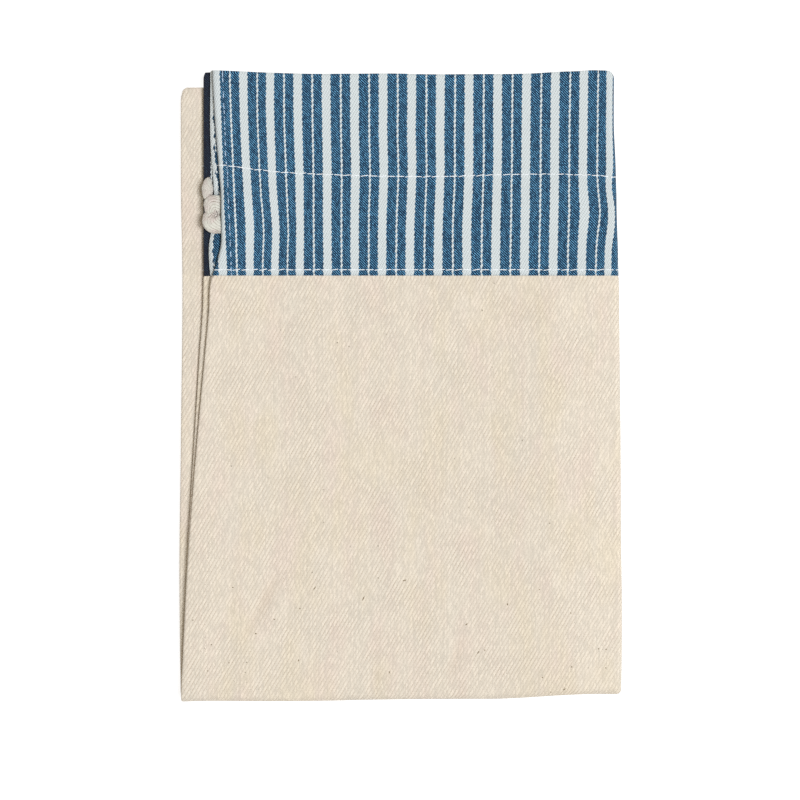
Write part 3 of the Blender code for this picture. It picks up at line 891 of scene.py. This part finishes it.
def striped_denim():
    material, tree = plain_material("striped_denim", 0.88, 0.08)
    along, yarns, painted_shading = weave(tree, WARP_PITCH, WEFT_PITCH, 0.42)
    # The attribute is -1 at the front layer's end, 0.5 on the second layer and 1 further inside; it sets the
    # painted shade and light, and the ragged stripes on the second layer
    inside = maths(tree, "MAXIMUM", painted_shading, 0.0)
    # On the second layer the stripes' edges are ragged
    ragged = times(tree, inside, minus(tree, 1, inside), spread_to(tree, yarns["Speck"], 0.0, 1.0, -9.0, 9.0))
    number = plus(tree, plus(tree, yarns["Warp yarn"], ragged), 1000 * REPEAT_YARNS + HALF_WHITE)
    number = maths(tree, "MODULO", number, REPEAT_YARNS)
    # Ten white yarns, then eleven blue, two white and ten blue
    wide = maths(tree, "LESS_THAN", number, 9.5)
    thin = times(tree, maths(tree, "GREATER_THAN", number, 20.5), maths(tree, "LESS_THAN", number, 22.5))
    white = maths(tree, "MAXIMUM", wide, thin)
    blue, lighter, faded = (0.001, 0.011, 0.037, 1), (0.002, 0.014, 0.046, 1), (0.004, 0.025, 0.070, 1)
    painted_shade_navy, pale, milk = (0.012, 0.010, 0.016, 1), (0.20, 0.57, 0.90, 1), (0.63, 0.683, 0.686, 1)
    worn = noise(tree, along, 0.09, 4)[0]
    # The blue is uneven from yarn to yarn and worn in patches; deep in the fold it is painted nearly black,
    # painted shade
    dyed = tinted(tree, blue, (yarns["Tone"], 0.3, 0.7, 1, lighter), (yarns["Grain"], 0.45, 0.75, 0.8, faded),
                  (worn, 0.45, 0.7, 0.2, faded), (inside, 0.5, 1.0, 0.85, painted_shade_navy))
    # White shows wherever the weft comes up between blue warps, and each warp is pale in rows, worn and with
    # painted highlights on its floats; deep in the fold the flecks are dimmed, painted shade
    fleck = times(
        tree,
        maths(tree, "MAXIMUM", spread_to(tree, yarns["Weft"], 0.1, 0.7, 0, 0.1),
              spread_to(tree, yarns["Rows"], 0.45, 0.95, 0, 1)),
        spread_to(tree, yarns["Speck"], 0.0, 1.0, 0.25, 1.1),
        spread_to(tree, inside, 0.4, 1.0, 1.0, 0.09),
    )
    dyed = blend_colours(tree, fleck, dyed, pale)
    # Pale slubs down the middle of the first blue stripe, beside the slit
    u, v, _ = split(tree, along)
    middle = plus(tree, spread_to(tree, v, 28, 38, 65.75, 65.35),
                  spread_to(tree, noise_down(tree, v, 0.16), 0.3, 0.7, -0.15, 0.15))
    off = maths(tree, "ABSOLUTE", plus(tree, u, middle))
    slub = spread_product(tree, (off, 0.24, 0.08, 0, 0.9), (noise_down(tree, v, 0.55), 0.47, 0.53, 0, 1))
    dyed = blend_colours(tree, slub, dyed, (0.50, 0.64, 0.80, 1))
    # The white inside the fold is painted lighter, painted light
    milk = dimmed(tree, milk, (yarns["Grain"], 0.3, 0.7, 0.95, 1.05), (inside, 0.0, 0.5, 1.0, 1.25))
    colour = blend_colours(tree, white, dyed, milk)
    # Painted shade: darker at the front layer's turned-in end, in the gaps between yarns and in the wale's
    # grooves
    colour = dimmed(tree, colour, (painted_shading, -1.0, -0.6, 0.42, 1.0), (yarns["Yarns"], 0.6, 0.05, 1.0, 0.48),
                    (yarns["Wale"], 0.0, 1.0, 0.86, 1.0))
    coat(tree, colour, yarns["Yarns"], 0.08 * MM, 0.8)
    return material


def band_rows():
    """Every row of the strip, from its outer lower edge up, over at the mouth, and down inside."""
    rise = np.linspace(JOIN, MOUTH_TURNS, RISE_ROWS)
    over = np.radians(np.linspace(90, -90, OVER_ROWS + 2)[1:-1])
    fall = np.linspace(MOUTH_TURNS, JOIN + 0.5, 34)
    y = np.concatenate([rise, MOUTH_TURNS + MOUTH_REACH * np.cos(over), fall])
    ply = np.concatenate([np.ones(len(rise)), np.sin(over), -np.ones(len(fall))])
    return y, ply


def band_points():
    """The strip's middle surface: rows from the outer lower edge, columns round the mouth."""
    y, ply = band_rows()
    edges = edges_at(FRONT_EDGES, np.minimum(y, HALF_LONG))
    trim = PRESSED * BAND_OUTERMOST - 0.1
    heights, room = [HEADING_HEIGHTS] * len(y), ROOM + BAND_ROOM * ply
    front, back = both_panels(edges, trim, heights, room, BAND_OUTERMOST, (BAND_FRONT, BAND_BACK))
    # The strip's ends are pressed flat, ply to ply
    for (xs, hs, _), panel, count in ((front, 1, BAND_FRONT), (back, -1, BAND_BACK)):
        upper = slice(count.end, count.end + count.upper)
        near_end = 1 - ease((xs[:, upper] - xs[:, [count.end]]) / 2.4)
        hs[:, upper] -= panel * BAND_ROOM * ply[:, None] * 0.55 * near_end
    # Stripes run on round the strip; the hidden layers stretch a little
    u = front[2] + front[0][:, [BAND_FRONT.end + BAND_FRONT.upper]]
    front[2] = np.where(u > UNDER_FROM, UNDER_FROM + (u - UNDER_FROM) * UNDER_STRETCH, u)
    back[2] = SEAM_AT + (back[2][:, -1:] - back[2]) * BACK_STRETCH
    x, height, u = np.concatenate([front[..., BAND_FRONT.end:], back[..., :BAND_BACK.end - 1:-1]], -1)
    return y, ply, edges, x, height, u


def make_heading():
    y, ply, edges, x, height, u = band_points()
    layer = ring_of_layers(BAND_FRONT, BAND_BACK)[BAND_FRONT.end:-BAND_BACK.end]
    turn = np.full(len(y), 90.0)
    # The mouth isn't level, and its corner at the lengthwise fold is round
    rise = read_table(MOUTH_LINE, "y", x)
    into_corner = np.clip((x - (edges["fold"][:, None] - CORNER_REACH)) / CORNER_REACH, 0, 0.999)
    corner = CORNER_DROP * (1 - np.sqrt(1 - into_corner ** 2))
    level = y[:, None] + rise * (y[:, None] - JOIN) / 70 - corner * ease((y[:, None] - 97) / 11)
    points, layer, evenly = fold_round(x, height, level, turn, layer, edges)
    points = settle(points, layer, evenly * 0.35)
    px, py = points[..., 0], points[..., 1]
    outer = (ply[:, None] + 1) / 2
    top = layer == 1
    # The cord in its tunnel lifts the front layer, and the stitch line above draws it down
    below = stitch_level(px) - py
    ridge = np.exp(-(((TUNNEL_MIDDLE - below) / 6.0) ** 2)) * ease(below / 5) * ease((66 - px) / 24)
    points[..., 2] += top * (rise_over(KNOT, px, py) + ridge * (0.35 + 0.75 * outer))
    points[..., 2] -= top * 0.18 * np.exp(-((below / 1.6) ** 2)) * outer
    # The second layer's tunnel opens where the cord comes out
    points[..., 2] += (layer == 2) * rise_over(TUNNEL_END, px, py) * (1 - outer)
    # Stripes: even on the cloth, shifted across the front as they drift and lean there
    at_fold = stripe_shift(np.full_like(py[:, :1], 74.0), py[:, :1])
    shift = np.where(top, stripe_shift(px, py), at_fold)
    near_slit = ease((-50 - px) / 12)
    turns = np.argmax(layer[0] == 3)
    for column, start, layers in ((-1, WHITE_AT_SLIT, (layer == 2)), (turns, BLUE_FROM, (layer > 2))):
        past = u[:, [column]] - at_fold - (start - HALF_WHITE * WARP_PITCH)
        past = past - REPEAT * np.round(past.mean() / REPEAT)
        shift = shift + near_slit * layers * past
    v = np.where(ply[:, None] > -0.5, HALF_LONG - py, py - HALF_LONG)
    v = np.where(np.abs(ply[:, None]) < 1, 0.5 * ply[:, None], v)
    uv = np.stack([u - shift, v], -1)
    # Painted shade within the folds: the inner layers' blue is painted darker, the second layer's only a
    # little, and the white there is painted lighter
    layer_shading = np.where(layer == 2, 0.5, 1.0) * (layer > 1) * np.ones_like(px)
    # Painted shadow: the front layer's end, where it is turned in over the slit, is darkened
    layer_shading[:, 0] = -1.0
    piece = cloth_grid("striped_heading", points, uv, striped_denim(), layer_shading)
    thicken(piece, PLY)
    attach(piece, "root")
    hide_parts("heading")
    return points, layer


heading_points, heading_layer = make_heading()


# ---- Stitches: white cotton thread, sewn through the doubled heading 36 mm below the mouth to close
# the cord's tunnel, and again along its lower edge to hold the body.
THREAD = 0.31
STITCH_PITCH = 3.05
STITCH_LONG = 2.75
LAST_STITCH = 2.6  # from the second layer's end to the middle of its last stitch


def spaced(line, far, at):
    """A line's points, or what goes with them, at other distances along it."""
    return np.stack([np.interp(at, far, line[:, k]) for k in range(3)], -1)


def sewn_points(level, rows):
    """Places, directions and outward directions of the stitches along one line round the heading."""
    grid = heading_points[rows]
    columns = np.arange(grid.shape[1])
    target = level(grid[0, :, 0])
    across, along = np.gradient(grid, axis=1), np.gradient(grid, axis=0)

    def at_line(values, column):
        order = np.argsort(grid[:, column, 1])
        ys = grid[order, column, 1]
        return [np.interp(target[column], ys, values[order, column, k]) for k in range(3)]

    line = np.array([at_line(grid, column) for column in columns])
    outward = np.array([np.cross(at_line(across, column), at_line(along, column)) for column in columns])
    far = run_along(line)
    at = np.arange(STITCH_PITCH * 0.5, far[-1], STITCH_PITCH)
    place = spaced(line, far, at)
    # The third layer's own stitches lie too deep in the slit to be seen
    under = heading_layer[rows][0, np.rint(np.interp(at, far, columns)).astype(int)]
    second = under == 2
    at[second] += (far[-1] - LAST_STITCH - at[second][-1]) % STITCH_PITCH
    at = at[((under != 3) | (place[:, 0] > -60)) & (at < far[-1] - LAST_STITCH + 0.1)]
    place = spaced(line, far, at)
    facing = unit(spaced(outward, far, at))
    ahead = unit(spaced(line, far, at + 0.5) - place)
    return place + facing * (PLY / 2 + 0.02), ahead, facing


def stitch_tree(thread):
    """Sets one arched stitch at each point, along and outward as the point's own directions say."""
    tree = bpy.data.node_groups.new("sewn_line", "GeometryNodeTree")
    tree.interface.new_socket("Points", in_out="INPUT", socket_type="NodeSocketGeometry")
    for name in ("Length", "Thread", "Slant"):
        tree.interface.new_socket(name, in_out="INPUT", socket_type="NodeSocketFloat")
    tree.interface.new_socket("Stitches", in_out="OUTPUT", socket_type="NodeSocketGeometry")
    given = add_node(tree, "NodeGroupInput").outputs
    half, sunk = times(tree, given["Length"], 0.5), times(tree, given["Thread"], -0.55)
    arc = add_node(tree, "GeometryNodeCurveQuadraticBezier", {
        "Resolution": 7,
        "Start": vector(tree, x=times(tree, half, -1), z=sunk),
        "Middle": vector(tree, z=times(tree, given["Thread"], 0.9)),
        "End": vector(tree, x=half, z=sunk),
    })
    girth = add_node(tree, "GeometryNodeCurvePrimitiveCircle", {
        "Resolution": 8, "Radius": times(tree, given["Thread"], 0.5),
    })
    stitch = add_node(tree, "GeometryNodeCurveToMesh", {
        "Curve": arc, "Profile Curve": girth, "Fill Caps": True,
    })
    along, outward = (
        add_node(tree, "GeometryNodeInputNamedAttribute", {"Name": name}, data_type="FLOAT_VECTOR")
        for name in ("along", "outward")
    )
    facing = add_node(tree, "FunctionNodeAlignRotationToVector", {"Vector": along}, axis="X")
    facing = add_node(tree, "FunctionNodeAlignRotationToVector", {"Rotation": facing, "Vector": outward},
                      axis="Z", pivot_axis="X")
    chance = add_node(tree, "FunctionNodeRandomValue", {
        "Seed": 7, 2: times(tree, given["Slant"], -0.4), 3: given["Slant"],
    }, data_type="FLOAT").outputs[1]
    turned = add_node(tree, "FunctionNodeRotateRotation", {
        "Rotation": facing, "Rotate By": vector(tree, z=chance),
    }, rotation_space="LOCAL")
    placed = add_node(tree, "GeometryNodeInstanceOnPoints", {
        "Points": given["Points"], "Instance": stitch, "Rotation": turned,
    })
    real = add_node(tree, "GeometryNodeRealizeInstances", {0: placed})
    painted = add_node(tree, "GeometryNodeSetMaterial", {"Geometry": real, "Material": thread})
    add_node(tree, "NodeGroupOutput", {0: add_node(tree, "GeometryNodeSetShadeSmooth", {0: painted})})
    return tree


def white_thread():
    material, tree = plain_material("white_thread", 0.75, 0.1)
    fuzz = noise(tree, place_on_piece(tree), 1800, 2)[0]
    coat(tree, tinted(tree, (0.74, 0.78, 0.80, 1), (fuzz, 0.35, 0.65, 1, (0.9, 0.92, 0.93, 1))))
    return material


def make_stitches():
    outer, inner = slice(0, RISE_ROWS), slice(RISE_ROWS + OVER_ROWS, None)
    lines = [
        sewn_points(stitch_level, outer),
        sewn_points(stitch_level, inner),
        sewn_points(lambda x: np.full_like(x, JOIN + 2.0), outer),
    ]
    place, ahead, outward = (np.concatenate([line[k] for line in lines]) for k in range(3))
    data = bpy.data.meshes.new("stitch_points")
    data.from_pydata((place * MM).tolist(), [], [])
    for name, values in (("along", ahead), ("outward", outward)):
        attribute = data.attributes.new(name, "FLOAT_VECTOR", "POINT")
        attribute.data.foreach_set("vector", values.astype(np.float32).ravel())
    points = place_in_scene("stitch_points", data)
    sewing = points.modifiers.new("sewing", "NODES")
    tree = stitch_tree(white_thread())
    sewing.node_group = tree
    inputs = {item.name: item.identifier for item in tree.interface.items_tree if item.in_out == "INPUT"}
    for name, value in (("Length", STITCH_LONG * MM), ("Thread", THREAD * MM), ("Slant", 0.2)):
        sewing[inputs[name]] = value
    bpy.context.view_layer.update()
    evaluated = points.evaluated_get(bpy.context.evaluated_depsgraph_get())
    sewn = bpy.data.meshes.new_from_object(evaluated)
    bpy.data.objects.remove(points, do_unlink=True)
    piece = place_in_scene("heading_stitches", sewn)
    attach(piece, "root")


make_stitches()
